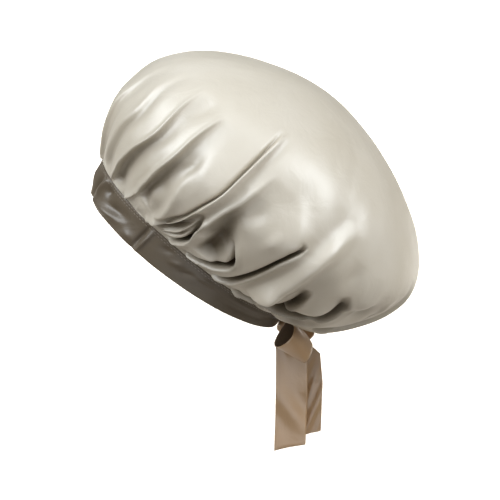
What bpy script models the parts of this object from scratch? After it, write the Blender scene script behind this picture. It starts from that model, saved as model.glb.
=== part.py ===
"""A satin sleep bonnet: a gathered crown on a flat band, closed at the nape by a ribbon bow.

Metres, +Z up. The origin is the middle of the head opening, halfway across the band. The
wearer faces -Y, and +X is the wearer's left. Angles run round the opening: 0 is the forehead,
90 the left side, 180 the nape and 270 the right side.
"""

import math

import bmesh
import bpy
import numpy as np

# The head opening, measured inside the band
OPENING_LENGTH = 0.200
OPENING_WIDTH = 0.154
OPENING_TILT = 38.0

# The band
BAND_WALL = 0.0020
BAND_WIDTH_FRONT = 0.031
BAND_WIDTH_SIDE = 0.025
BAND_WIDTH_NAPE = 0.014
BAND_FLARE_FRONT = 17.0
BAND_FLARE_SIDE = 4.0
BAND_FLARE_NAPE = -8.0

# The crown, a bag of thin cloth
CROWN_WALL = 0.0015
CROWN_HEIGHT = 0.177
CROWN_OVERHANG_LENGTH = 0.046
CROWN_OVERHANG_WIDTH = 0.055
CROWN_LEAN_BACK = 0.025
FOLD_HEIGHT = 0.010
FOLD_WIDTH = 0.010

# The ribbon bow at the nape
RIBBON_WIDTH = 0.028
RIBBON_WALL = 0.0012
KNOT_WIDTH = 0.016
KNOT_DEPTH = 0.012
KNOT_HEIGHT = 0.017
KNOT_DROP = 0.004
LOOP_LENGTH = 0.027
LOOP_BULGE = 0.017
LOOP_SHIFT = 0.32
LEFT_TAIL_LENGTH = 0.106
RIGHT_TAIL_LENGTH = 0.096

# The gap left between pieces that touch
SEAT_GAP = 0.0003

# How finely the curved surfaces are cut into faces
CROWN_STEPS_ROUND = 96
CROWN_STEPS_UP = 26
BAND_STEPS_ROUND = 72
BAND_STEPS_ACROSS = 3
LOOP_STEPS_ROUND = 28
TAIL_STEPS_DOWN = 16
RIBBON_STEPS_ACROSS = 4

# The crown's rings, from the seam at the band to the apex, at equal steps.
# flare is the share of the overhang reached at the ends, and side_flare at the sides.
# keep is the share of the full size that is left, and lean the share of the backward lean.
# The rises are shares of the height from the seam to the apex.
RING_COLUMNS = ("flare", "side_flare", "keep", "lean", "front_rise", "side_rise", "nape_rise")
RINGS = (
    (0.00, 0.00, 1.000, -0.10, 0.00, 0.00, 0.00),
    (0.43, 0.30, 1.000, 0.36, 0.06, 0.06, 0.05),
    (0.76, 0.60, 1.000, 0.58, 0.165, 0.16, 0.165),
    (1.03, 0.86, 1.000, 0.78, 0.32, 0.29, 0.345),
    (1.05, 1.00, 1.000, 0.92, 0.45, 0.435, 0.50),
    (1.05, 1.00, 0.940, 0.88, 0.60, 0.595, 0.625),
    (1.00, 1.00, 0.808, 0.78, 0.745, 0.765, 0.76),
    (1.00, 1.00, 0.550, 0.64, 0.88, 0.905, 0.895),
    (1.00, 1.00, 0.245, 0.48, 0.97, 0.985, 0.98),
    (1.00, 1.00, 0.000, 0.44, 1.00, 1.00, 1.00),
)

# The crown's folds. Each is a ridge that runs up from the seam and dies out.
# start_angle is where its line meets the seam, and end_angle where it ends, at end_share.
# rise and reach are shares of the fold height and fold width. lean tips the crest sideways,
# and trough is how deep the valley beside it is, on the side that the crest leans to.
FOLD_COLUMNS = ("start_angle", "end_angle", "end_share", "rise", "reach", "lean", "trough")
LEFT_FOLDS = (
    (14, 22, 0.62, 0.55, 1.05, 0.3, 0.7),
    (33, 42, 0.68, 0.70, 1.10, 0.5, 0.8),
    (48, 59, 0.70, 0.75, 1.10, 0.5, 0.9),
    (66, 80, 0.82, 0.70, 0.75, -0.5, 0.5),
    (79, 81, 0.62, 0.75, 0.75, 0.6, 1.6),
    (94, 92, 0.40, 0.75, 1.15, 0.4, 0.7),
    (107, 106, 0.60, 0.90, 1.20, 0.5, 1.1),
    (121, 119, 0.48, 0.70, 1.00, 0.4, 1.0),
    (132, 133, 0.50, 0.80, 1.05, -0.4, 0.9),
    (148, 146, 0.52, 0.60, 1.10, 0.3, 0.7),
    (164, 161, 0.50, 0.55, 1.00, -0.3, 0.7),
)
RIGHT_FOLDS = (
    (182, 184, 0.48, 0.65, 1.05, 0.3, 0.8),
    (197, 200, 0.58, 0.75, 1.05, -0.4, 0.8),
    (212, 213, 0.46, 0.65, 1.00, 0.4, 0.9),
    (226, 230, 0.62, 0.85, 1.15, 0.5, 1.0),
    (242, 240, 0.50, 0.65, 1.05, -0.4, 0.8),
    (257, 258, 0.66, 0.85, 1.15, 0.5, 1.1),
    (272, 267, 0.52, 0.70, 0.95, -0.5, 0.9),
    (286, 281, 0.74, 0.80, 1.05, -0.4, 1.0),
    (301, 297, 0.58, 0.65, 1.00, 0.4, 0.7),
    (315, 307, 0.68, 0.75, 1.10, -0.5, 0.8),
    (331, 324, 0.60, 0.60, 1.05, 0.3, 0.7),
    (347, 343, 0.66, 0.60, 1.10, -0.3, 0.6),
    (360, 361, 0.52, 0.45, 1.00, 0.3, 0.5),
)

TILT = math.radians(OPENING_TILT)
BACKWARD = np.array((0.0, math.cos(TILT), -math.sin(TILT)))
UPWARD = np.array((0.0, math.sin(TILT), math.cos(TILT)))
LEFTWARD = np.array((1.0, 0.0, 0.0))


def round_blend(angle, front, side, nape):
    """A value that is front at 0 degrees, side at 90 and 270, and nape at 180."""
    middle = ((front + nape) / 2 + side) / 2
    first = (front - nape) / 2
    second = ((front + nape) / 2 - side) / 2
    return middle + first * np.cos(angle) + second * np.cos(2 * angle)


def in_row_frame(back, left, up):
    """The point that is this far back, left and up from the middle of the tilted opening."""
    return back[..., None] * BACKWARD + left[..., None] * LEFTWARD + up[..., None] * UPWARD


def band_parts(angle, across, out):
    """(back, left, up) of a point of the band: across is 0 at its lower edge and 1 at its seam."""
    half_length, half_width = OPENING_LENGTH / 2, OPENING_WIDTH / 2
    back, left = -half_length * np.cos(angle), half_width * np.sin(angle)
    back_out, left_out = -half_width * np.cos(angle), half_length * np.sin(angle)
    size = np.hypot(back_out, left_out)
    width = round_blend(angle, BAND_WIDTH_FRONT, BAND_WIDTH_SIDE, BAND_WIDTH_NAPE)
    flare = np.radians(round_blend(angle, BAND_FLARE_FRONT, BAND_FLARE_SIDE, BAND_FLARE_NAPE))
    reach = (across - 0.5) * width
    away = out + reach * np.sin(flare)
    return back + away * back_out / size, left + away * left_out / size, reach * np.cos(flare)


def smooth_column(values, share):
    """A table's column read at a share of its length, by a Catmull-Rom curve through its rows."""
    values = np.asarray(values, float)
    place = np.clip(share, 0, 1) * (len(values) - 1)
    row = np.clip(place.astype(int), 0, len(values) - 2)
    part = place - row
    before, here, after = values[np.maximum(row - 1, 0)], values[row], values[row + 1]
    beyond = values[np.minimum(row + 2, len(values) - 1)]
    slope_here, slope_after = (after - before) / 2, (beyond - here) / 2
    cube, square = part**3, part**2
    return (
        (2 * cube - 3 * square + 1) * here
        + (cube - 2 * square + part) * slope_here
        + (3 * square - 2 * cube) * after
        + (cube - square) * slope_after
    )


def crown_base(angle, share):
    """The crown's outer surface without folds. share is 0 at the seam and 1 at the apex."""
    ring = {
        name: smooth_column(column, share) for name, column in zip(RING_COLUMNS, zip(*RINGS))
    }
    seam_out = (BAND_WALL + CROWN_WALL) / 2
    seam = band_parts(angle, 1.0, seam_out)
    half_length = (OPENING_LENGTH / 2 + seam_out + ring["flare"] * CROWN_OVERHANG_LENGTH) * ring["keep"]
    half_width = (OPENING_WIDTH / 2 + seam_out + ring["side_flare"] * CROWN_OVERHANG_WIDTH) * ring["keep"]
    rise = round_blend(angle, ring["front_rise"], ring["side_rise"], ring["nape_rise"])
    back = ring["lean"] * CROWN_LEAN_BACK - half_length * np.cos(angle)
    left = half_width * np.sin(angle)
    seam_up = seam[2] + SEAT_GAP
    up = seam_up + (CROWN_HEIGHT - seam_up) * rise
    seam_ring_back = RINGS[0][3] * CROWN_LEAN_BACK - (OPENING_LENGTH / 2 + seam_out) * np.cos(angle)
    seam_ring_left = (OPENING_WIDTH / 2 + seam_out) * np.sin(angle)
    pull = np.clip(1 - share * 4, 0, 1) ** 2
    back = back + pull * (seam[0] - seam_ring_back)
    left = left + pull * (seam[1] - seam_ring_left)
    return in_row_frame(back, left, up)


def surface_normal(angle, share):
    """The outward direction of the crown without folds."""
    step = 1e-3
    low, high = np.maximum(share - step, 0), np.minimum(share + step, 0.995)
    along = crown_base(angle + step, share) - crown_base(angle - step, share)
    upward = crown_base(angle, high) - crown_base(angle, low)
    normal = np.cross(along, upward)
    return normal / np.linalg.norm(normal, axis=-1, keepdims=True)


def crown_surface(angle, share):
    """The crown's outer surface with its folds."""
    base = crown_base(angle, share)
    normal = surface_normal(angle, np.minimum(share, 0.98))
    aside = crown_base(angle + 1e-3, share) - crown_base(angle - 1e-3, share)
    radius = np.linalg.norm(aside, axis=-1, keepdims=True) / 2e-3
    aside = aside / np.maximum(radius * 2e-3, 1e-9)
    lift = np.zeros(base.shape[:-1])
    slide = np.zeros(base.shape[:-1])
    for row in LEFT_FOLDS + RIGHT_FOLDS:
        fold = dict(zip(FOLD_COLUMNS, row))
        part = np.clip(share / fold["end_share"], 0, 1)
        line = fold["start_angle"] + (fold["end_angle"] - fold["start_angle"]) * part
        turn = (np.degrees(angle) - line + 180) % 360 - 180
        width = fold["reach"] * FOLD_WIDTH * (0.75 + 0.45 * part)
        off = np.radians(turn) * radius[..., 0] / width
        fade = np.minimum(part / 0.16, 1) ** 1.5 * (1 - part**3) ** 1.2
        height = fold["rise"] * FOLD_HEIGHT * fade
        crest = np.exp(-(off**2))
        side = np.sign(fold["lean"]) if fold["lean"] else 1.0
        valley = np.exp(-(((off - side * 1.35) / 0.8) ** 2))
        lift += height * (crest - fold["trough"] * 0.6 * valley)
        slide += height * fold["lean"] * crest
    return base + lift[..., None] * normal + slide[..., None] * aside


def clear_scene():
    for thing in list(bpy.data.objects):
        bpy.data.objects.remove(thing)


def ring_counts():
    """How many corners each ring of the crown has: fewer near the apex, where it is small."""
    counts = []
    for step in range(CROWN_STEPS_UP):
        share = step / CROWN_STEPS_UP
        counts.append(CROWN_STEPS_ROUND // (1 if share < 0.74 else 2 if share < 0.9 else 4))
    return counts


def crown_mesh():
    """The open sheet of the crown as corners and faces, seam first and apex last."""
    corners, starts, faces = [], [], []
    counts = ring_counts()
    for step, count in enumerate(counts):
        starts.append(len(corners))
        angle = np.linspace(0, 2 * math.pi, count, endpoint=False)
        share = np.full(count, (step / CROWN_STEPS_UP) ** 1.12)
        corners.extend(crown_surface(angle, share))
    apex = len(corners)
    corners.append(crown_base(np.array([0.0]), np.array([1.0]))[0])
    for step in range(len(counts) - 1):
        low, high, count, above = starts[step], starts[step + 1], counts[step], counts[step + 1]
        for place in range(above):
            onward = (place + 1) % above
            if above == count:
                faces.append((low + place, low + onward, high + onward, high + place))
                continue
            first, middle, last = 2 * place, 2 * place + 1, (2 * place + 2) % count
            faces.append((low + first, low + middle, high + place))
            faces.append((low + middle, high + onward, high + place))
            faces.append((low + middle, low + last, high + onward))
    for place in range(counts[-1]):
        faces.append((starts[-1] + place, starts[-1] + (place + 1) % counts[-1], apex))
    return corners, faces


def grid_faces(rows, columns, closed=False):
    """Quads of a grid of corners stored row after row. closed joins the last column to the first."""
    faces = []
    for row in range(rows - 1):
        for column in range(columns if closed else columns - 1):
            onward = (column + 1) % columns
            low, high = row * columns, (row + 1) * columns
            faces.append((low + column, low + onward, high + onward, high + column))
    return faces


def band_mesh():
    """The outer face of the band, an open sheet, lower edge first."""
    corners = []
    angle = np.linspace(0, 2 * math.pi, BAND_STEPS_ROUND, endpoint=False)
    for step in range(BAND_STEPS_ACROSS + 1):
        across = np.full(BAND_STEPS_ROUND, step / BAND_STEPS_ACROSS)
        corners.extend(in_row_frame(*band_parts(angle, across, BAND_WALL)))
    return corners, grid_faces(BAND_STEPS_ACROSS + 1, BAND_STEPS_ROUND, closed=True)


def knot_centre():
    """The middle of the knot, which sits behind the band at the nape."""
    nape = np.array(math.pi)
    back = band_parts(nape, np.array(0.0), BAND_WALL)[0] + SEAT_GAP + KNOT_DEPTH / 2
    return back * BACKWARD - KNOT_DROP * UPWARD


def knot_reach(way):
    """How far the knot's surface is from its middle along a unit direction."""
    sizes = ((BACKWARD, KNOT_DEPTH), (LEFTWARD, KNOT_WIDTH), (UPWARD, KNOT_HEIGHT))
    total = sum(abs(way @ axis / (size / 2)) ** 3 for axis, size in sizes)
    return total ** (-1 / 3)


def knot_lowest():
    """The lowest point of the knot."""
    sizes = ((BACKWARD, KNOT_DEPTH / 2), (LEFTWARD, KNOT_WIDTH / 2), (UPWARD, KNOT_HEIGHT / 2))
    down = np.array((0.0, 0.0, -1.0))
    pulls = [half * (down @ axis) for axis, half in sizes]
    total = sum(abs(pull) ** 1.5 for pull in pulls) ** (1 / 3)
    steps = (
        axis * half * math.copysign(math.sqrt(abs(pull)), pull) / total
        for (axis, half), pull in zip(sizes, pulls)
    )
    return knot_centre() + sum(steps)


def knot_mesh(rings=12, around=20):
    """The knot, a closed rounded block."""
    centre = knot_centre()
    corners, faces = [], []
    for ring in range(1, rings):
        polar = math.pi * ring / rings
        for place in range(around):
            turn = 2 * math.pi * place / around
            way = (
                math.sin(polar) * math.cos(turn) * BACKWARD
                + math.sin(polar) * math.sin(turn) * LEFTWARD
                - math.cos(polar) * UPWARD
            )
            corners.append(centre + knot_reach(way) * way)
    faces = [face[::-1] for face in grid_faces(rings - 1, around, closed=True)]
    for end, way in ((0, -UPWARD), (rings - 2, UPWARD)):
        tip = len(corners)
        corners.append(centre + knot_reach(way) * way)
        for place in range(around):
            pair = (end * around + place, end * around + (place + 1) % around)
            faces.append((*(pair if end == 0 else pair[::-1]), tip))
    return corners, faces


def unit(x, y, z):
    way = np.array((x, y, z), float)
    return way / np.linalg.norm(way)


def ribbon_mesh(middle, across, half_width):
    """A strip of ribbon: a line of middle points, the way across it and its half width at each."""
    corners = []
    columns = RIBBON_STEPS_ACROSS + 1
    for point, way, half in zip(middle, across, half_width):
        for column in range(columns):
            corners.append(point + way * half * (2 * column / (columns - 1) - 1))
    return corners, grid_faces(len(middle), columns)


def loop_mesh(side):
    """A loop of the bow that droops beside the knot. side is 1 on the left and -1 on the right."""
    droop = unit(0.66 * side, -0.30, -0.70)
    across = unit(0.22 * side, -0.66, 0.70)
    across = across - droop * (across @ droop)
    across = across / np.linalg.norm(across)
    bulge = np.cross(across, droop) * side
    root_way = unit(side, 0.0, -0.10)
    spread = 1.1 * RIBBON_WALL
    seat = SEAT_GAP + RIBBON_WALL / 2 + spread * abs(bulge @ root_way)
    root = knot_centre() + (knot_reach(root_way) + seat) * root_way
    part = np.linspace(0, 1, LOOP_STEPS_ROUND + 1)
    along = LOOP_LENGTH * (1 - np.cos(2 * math.pi * part)) / 2
    out = LOOP_BULGE * 0.65 * np.sin(2 * math.pi * part) * np.sin(math.pi * part)
    out = out + (1 - 2 * part) * spread
    clear = 0.42 * LOOP_BULGE * np.sin(math.pi * part) ** 1.2
    middle = root + along[:, None] * droop + out[:, None] * bulge
    middle = middle + clear[:, None] * side * LEFTWARD
    opened = np.clip(np.sin(math.pi * part) * 1.6, 0, 1) ** 1.3
    middle = middle - across * (LOOP_SHIFT * RIBBON_WIDTH * opened)[:, None]
    at_root = across - root_way * (across @ root_way)
    ways = [unit(*(at_root + (across - at_root) * share)) for share in opened]
    return ribbon_mesh(middle, ways, (0.34 + 0.66 * opened) * RIBBON_WIDTH / 2)


# Each tail's run below the knot, as shares: how far along it, how far it drifts back and left
# (shares of the ribbon's width), and how wide it is.
TAIL_COLUMNS = ("along", "back", "left", "width")
LEFT_TAIL_ROWS = (
    (0.00, 0.00, 0.00, 0.36),
    (0.07, 0.02, 0.00, 0.62),
    (0.20, 0.02, 0.01, 1.00),
    (0.50, -0.01, 0.06, 1.00),
    (1.00, -0.05, 0.04, 1.00),
)
RIGHT_TAIL_ROWS = (
    (0.00, 0.00, 0.00, 0.36),
    (0.07, 0.14, -0.04, 0.62),
    (0.20, 0.30, -0.10, 1.00),
    (0.50, 0.42, -0.16, 1.00),
    (1.00, 0.36, -0.10, 1.00),
)
TAIL_END_SLANT = 0.25


def tail_mesh(side, length, rows):
    """A tail that hangs from the knot, its face to the side and its lower end cut at a slant."""
    root = knot_lowest() + np.array((side * (RIBBON_WALL + SEAT_GAP) / 2, 0.0, -SEAT_GAP))
    table = {name: np.array(column) for name, column in zip(TAIL_COLUMNS, zip(*rows))}
    part = np.linspace(0, 1, TAIL_STEPS_DOWN + 1)
    columns = RIBBON_STEPS_ACROSS + 1
    corners = []
    for share in part:
        back, left, width = (
            np.interp(share, table["along"], table[name]) for name in ("back", "left", "width")
        )
        for column in range(columns):
            place = 2 * column / (columns - 1) - 1
            slant = TAIL_END_SLANT * RIBBON_WIDTH * place * np.clip(share * 4 - 3, 0, 1) / 2
            corners.append(
                root
                + np.array((
                    left * RIBBON_WIDTH,
                    back * RIBBON_WIDTH + width * place * RIBBON_WIDTH / 2,
                    slant - share * length,
                ))
            )
    return corners, grid_faces(len(part), columns)


def add_object(name, mesh, material, collection, wall=0.0, offset=-1.0):
    """A named object from corners and faces. A wall makes an open sheet solid."""
    corners, faces = mesh
    data = bpy.data.meshes.new(name)
    data.from_pydata([tuple(corner) for corner in corners], [], faces)
    shape = bmesh.new()
    shape.from_mesh(data)
    bmesh.ops.recalc_face_normals(shape, faces=shape.faces)
    shape.to_mesh(data)
    shape.free()
    data.materials.append(material)
    thing = bpy.data.objects.new(name, data)
    collection.objects.link(thing)
    if wall:
        solid = thing.modifiers.new("wall", "SOLIDIFY")
        solid.thickness = wall
        solid.offset = offset
        solid.use_rim = True
    return thing


def satin(name, colour, roughness):
    material = bpy.data.materials.new(name)
    material.use_nodes = True
    shader = material.node_tree.nodes["Principled BSDF"]
    shader.inputs["Base Color"].default_value = (*colour, 1.0)
    shader.inputs["Roughness"].default_value = roughness
    return material


def main():
    clear_scene()
    collection = bpy.data.collections.new("sleep_bonnet")
    bpy.context.scene.collection.children.link(collection)
    crown_satin = satin("crown_satin", (0.72, 0.68, 0.60), 0.35)
    band_satin = satin("band_satin", (0.66, 0.61, 0.53), 0.40)
    ribbon_satin = satin("ribbon_satin", (0.55, 0.47, 0.38), 0.42)
    add_object("crown", crown_mesh(), crown_satin, collection, CROWN_WALL)
    add_object("band", band_mesh(), band_satin, collection, BAND_WALL)
    add_object("knot", knot_mesh(), ribbon_satin, collection)
    for name, side in (("bow_loop_left", 1), ("bow_loop_right", -1)):
        add_object(name, loop_mesh(side), ribbon_satin, collection, RIBBON_WALL, 0.0)
    left_tail = tail_mesh(1, LEFT_TAIL_LENGTH, LEFT_TAIL_ROWS)
    right_tail = tail_mesh(-1, RIGHT_TAIL_LENGTH, RIGHT_TAIL_ROWS)
    add_object("tail_left", left_tail, ribbon_satin, collection, RIBBON_WALL, 0.0)
    add_object("tail_right", right_tail, ribbon_satin, collection, RIBBON_WALL, 0.0)


main()
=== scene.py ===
"""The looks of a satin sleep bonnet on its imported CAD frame.

Metres, +Z up. The origin is the middle of the head opening, halfway across the band. The
wearer faces -Y, and +X is the wearer's left. Angles run round the opening: 0 is the forehead,
90 the left side, 180 the nape and 270 the right side.
"""

import math

import bpy
import numpy as np
from mathutils import Matrix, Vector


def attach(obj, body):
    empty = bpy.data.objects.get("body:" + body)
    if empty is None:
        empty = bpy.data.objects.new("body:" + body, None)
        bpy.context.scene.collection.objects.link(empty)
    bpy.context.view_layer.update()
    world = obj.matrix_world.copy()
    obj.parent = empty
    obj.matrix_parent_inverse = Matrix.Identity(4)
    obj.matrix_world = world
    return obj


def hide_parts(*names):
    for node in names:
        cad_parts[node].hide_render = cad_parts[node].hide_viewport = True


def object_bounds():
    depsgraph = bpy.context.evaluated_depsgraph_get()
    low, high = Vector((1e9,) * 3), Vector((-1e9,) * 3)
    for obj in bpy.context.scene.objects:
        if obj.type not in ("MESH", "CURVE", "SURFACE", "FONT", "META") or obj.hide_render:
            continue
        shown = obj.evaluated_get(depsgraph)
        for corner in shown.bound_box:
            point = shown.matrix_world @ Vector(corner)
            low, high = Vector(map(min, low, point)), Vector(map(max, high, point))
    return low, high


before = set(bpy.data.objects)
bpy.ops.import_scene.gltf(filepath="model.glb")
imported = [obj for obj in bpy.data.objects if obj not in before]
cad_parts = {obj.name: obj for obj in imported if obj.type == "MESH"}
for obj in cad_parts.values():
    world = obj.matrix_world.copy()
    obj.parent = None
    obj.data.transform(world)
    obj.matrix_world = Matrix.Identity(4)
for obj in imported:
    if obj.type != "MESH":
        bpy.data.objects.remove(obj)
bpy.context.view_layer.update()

# The head opening and the band, as in the solids
OPENING_LENGTH = 0.200
OPENING_WIDTH = 0.154
OPENING_TILT = 38.0
BAND_WALL = 0.0020
BAND_WIDTH_FRONT = 0.031
BAND_WIDTH_SIDE = 0.025
BAND_WIDTH_NAPE = 0.014
BAND_FLARE_FRONT = 17.0
BAND_FLARE_SIDE = 4.0
BAND_FLARE_NAPE = -8.0

# The crown, as in the solids
CROWN_WALL = 0.0015
CROWN_HEIGHT = 0.177
CROWN_OVERHANG_LENGTH = 0.046
CROWN_OVERHANG_WIDTH = 0.055
CROWN_LEAN_BACK = 0.025
SEAT_GAP = 0.0003

# The ribbon bow, as in the solids, and the real thickness of its cloth
RIBBON_WIDTH = 0.028
RIBBON_WALL = 0.0012
RIBBON_CLOTH = 0.0006
KNOT_WIDTH = 0.016
KNOT_DEPTH = 0.012
KNOT_HEIGHT = 0.017
KNOT_DROP = 0.004
LOOP_LENGTH = 0.027
LOOP_BULGE = 0.017
LOOP_SHIFT = 0.32
LEFT_TAIL_LENGTH = 0.106
RIGHT_TAIL_LENGTH = 0.096

# How the loops of cloth differ from the solids: how far their roots are moved, and how much wider
# they open at one edge than at their middle
LOOP_ROOT_MOVED = (0.0, 0.0065, 0.0060)
LOOP_TAPER = 0.36

# The mesh of the crown's cloth. Its columns lie closer together over a stretch of the left side,
# given in degrees, and its rows closer together at the seam.
CROWN_STEPS_ROUND = 640
CROWN_STEPS_UP = 150
CLOSE_MIDDLE = 84.0
CLOSE_REACH = 78.0
CLOSE_BLUR = 5.0
CLOSE_GAIN = 1.6
CLOSE_AT_SEAM = 0.38

# The crown's edge, turned in over the band: how far out from the band's inner face and how far
# above its upper edge
TURNED_EDGE = ((0.0003, 0.00015), (0.0009, 0.00012), (0.0015, 0.00018))

# The crown's outline from the seam to the apex, as in the solids: how far it flares past the
# opening, front to back and to the sides, how much of that width it keeps, how far it leans back,
# and how high it is at the front, at the sides and at the nape. All are shares of the sizes above.
RING_COLUMNS = ("flare", "side_flare", "keep", "lean", "front_rise", "side_rise", "nape_rise")
RINGS = (
    (0.00, 0.00, 1.000, -0.10, 0.00, 0.00, 0.00),
    (0.43, 0.30, 1.000, 0.36, 0.06, 0.06, 0.05),
    (0.76, 0.60, 1.000, 0.58, 0.165, 0.16, 0.165),
    (1.03, 0.86, 1.000, 0.78, 0.32, 0.29, 0.345),
    (1.05, 1.00, 1.000, 0.92, 0.45, 0.435, 0.50),
    (1.05, 1.00, 0.940, 0.88, 0.60, 0.595, 0.625),
    (1.00, 1.00, 0.808, 0.78, 0.745, 0.765, 0.76),
    (1.00, 1.00, 0.550, 0.64, 0.88, 0.905, 0.895),
    (1.00, 1.00, 0.245, 0.48, 0.97, 0.985, 0.98),
    (1.00, 1.00, 0.000, 0.44, 1.00, 1.00, 1.00),
)

# Folds of the crown. Each runs up from the seam: its angle at the seam, halfway and at its end,
# and the share of the way to the apex where it ends. side is which way its steep face looks,
# 1 towards the nape and -1 towards the forehead. crest and width are in millimetres, and so are
# the depth and width of the trough under its steep face. lean tips the crest over the trough.
# FOLD_WANDER is how far the lines of all folds wander, in degrees.
FOLD_COLUMNS = (
    "seam", "middle", "end", "top", "side", "crest", "width", "trough", "trough_width", "lean",
)
FOLDS = (
    (7, 13, 16, 0.60, 1, 3.2, 5.0, 3.5, 7.0, 0.9),
    (146, 143, 141, 0.50, -1, 2.4, 5.5, 4.5, 6.0, 0.8),
    (158, 156, 154, 0.46, 1, 2.6, 5.5, 5.5, 6.0, 0.8),
    (170, 168, 168, 0.52, -1, 4.0, 5.5, 6.5, 6.0, 1.1),
    (182, 184, 185, 0.48, 1, 4.2, 5.0, 7.0, 6.0, 1.2),
    (193, 196, 197, 0.56, -1, 4.4, 5.0, 7.5, 5.5, 1.3),
    (205, 207, 208, 0.44, 1, 4.6, 5.0, 7.5, 5.5, 1.3),
    (217, 220, 222, 0.60, 1, 4.8, 4.5, 8.0, 5.0, 1.4),
    (229, 231, 229, 0.48, -1, 4.4, 5.0, 8.0, 6.0, 1.2),
    (241, 243, 246, 0.64, 1, 4.8, 4.5, 8.0, 5.0, 1.4),
    (253, 252, 249, 0.46, -1, 4.4, 5.0, 8.0, 5.5, 1.3),
    (263, 263, 261, 0.70, 1, 5.0, 4.2, 8.0, 5.0, 1.5),
    (275, 271, 268, 0.52, -1, 4.4, 5.0, 8.0, 6.0, 1.2),
    (287, 281, 277, 0.72, 1, 5.0, 4.5, 7.5, 5.5, 1.4),
    (298, 294, 291, 0.50, -1, 4.2, 5.0, 7.0, 6.0, 1.1),
    (309, 303, 299, 0.68, 1, 4.6, 5.0, 7.0, 6.0, 1.2),
    (322, 314, 310, 0.56, -1, 4.0, 5.5, 6.0, 6.5, 1.0),
    (334, 327, 323, 0.66, 1, 3.8, 5.5, 5.5, 6.0, 1.0),
    (346, 342, 340, 0.54, -1, 3.2, 5.5, 4.5, 6.5, 0.7),
    (357, 356, 358, 0.62, 1, 2.8, 6.0, 3.0, 7.0, 0.5),
)
FOLD_WANDER = 0.5

# Creases of the left side. Each runs along points given by angle and share, from the seam up, as
# a rolled lip with a pocket on one side or both, in millimetres. A row without pockets is a plain
# ridge, and a row whose lip is 0 high is a plain valley. Right is the side towards the nape for a
# crease that runs straight up. lean tips the lip to the right, or to the left where it is
# negative, at the crease's start and end. tip is how sharply the crease ends.
CREASE_COLUMNS = (
    "points", "high", "wide", "right_deep", "right_wide", "left_deep", "left_wide", "lean", "tip",
)
CREASES = (
    (((20, 0.07), (25, 0.24), (29, 0.38), (28, 0.52), (26, 0.64)),
     1.6, 4.0, 3.4, 4.5, 0, 4, (1, 2), 2),
    (((32, 0.02), (38, 0.20), (44, 0.36), (44, 0.50), (41, 0.64)),
     3.9, 1.9, 6.0, 5.5, 0, 4, (4, 3), 2.5),
    (((47, 0.02), (50, 0.09), (52, 0.16), (54, 0.23)),
     3.6, 2.0, 1.0, 5.0, 0, 4, (3, 2), 2),
    (((52, 0.15), (55, 0.27), (56, 0.38), (56, 0.50), (57, 0.63)),
     4.2, 1.9, 7.0, 5.5, 0, 4, (3, 3), 2.5),
    (((64, 0.08), (67, 0.18), (66, 0.30), (63, 0.44)),
     2.4, 3.4, 1.5, 4.0, 2.0, 6.0, (0, 0), 2),
    (((62, 0.03), (69, 0.12), (73, 0.22), (75, 0.34)),
     4.6, 1.7, 14.0, 3.0, 0, 3, (5, 1), 2),
    (((67, 0.10), (73, 0.24), (76, 0.44), (79, 0.71)),
     4.6, 2.3, 1.5, 3.0, 5.5, 2.0, (-2, -3), 8),
    (((70, 0.05), (75, 0.155), (77, 0.27)),
     2.0, 1.1, 6.0, 1.8, 0, 3, (2, 0), 3),
    (((77, 0.03), (80, 0.155), (79, 0.25), (78, 0.32)),
     5.0, 1.6, 0, 3, 14.0, 3.2, (-6, -4), 2),
    (((80, 0.24), (80, 0.36), (82, 0.47), (85, 0.60)),
     3.0, 2.6, 6.0, 7.0, 1.5, 3.0, (2, 0), 2),
    (((84, 0.14), (83, 0.26), (80, 0.38), (79, 0.52)),
     0.0, 1.0, 11.0, 6.0, 0, 4, (0, 0), 2),
    (((87, 0.03), (94, 0.13), (97, 0.20), (95, 0.26), (90, 0.31)),
     5.6, 1.35, 0, 3, 20.0, 3.4, (-5, -7), 3),
    (((103, 0.02), (104, 0.20), (104, 0.36), (107, 0.48)),
     4.6, 1.4, 0, 3, 14.0, 3.2, (-2, -8), 6),
    (((106, 0.44), (101, 0.52), (96, 0.61), (94, 0.72)),
     3.0, 7.5, 0, 4, 0, 4, (0, 0), 1.5),
    (((113, 0.14), (112, 0.28), (112, 0.42), (116, 0.53), (122, 0.62)),
     9.0, 7.5, 2.0, 7.0, 2.5, 5.0, (1, 0), 2),
    (((113, 0.03), (121, 0.115), (125, 0.17), (124, 0.25), (120, 0.34)),
     5.8, 1.35, 0, 3, 19.0, 4.0, (-5, -8), 3),
    (((122, 0.08), (133, 0.165), (140, 0.215), (139, 0.30), (131, 0.40)),
     5.8, 1.4, 0, 3, 19.0, 4.8, (-5, -8), 3),
    (((150, 0.14), (157, 0.21), (158, 0.30), (152, 0.42)),
     2.4, 2.2, 0, 3, 6.0, 4.2, (-2, -3), 2),
)

# How far beside a crease's points, in degrees and as a share of the way up, it can be felt, and
# how finely its line is followed
CREASE_REACH_ROUND = 24
CREASE_REACH_UP = 0.16
CREASE_STEPS = 48

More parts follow.
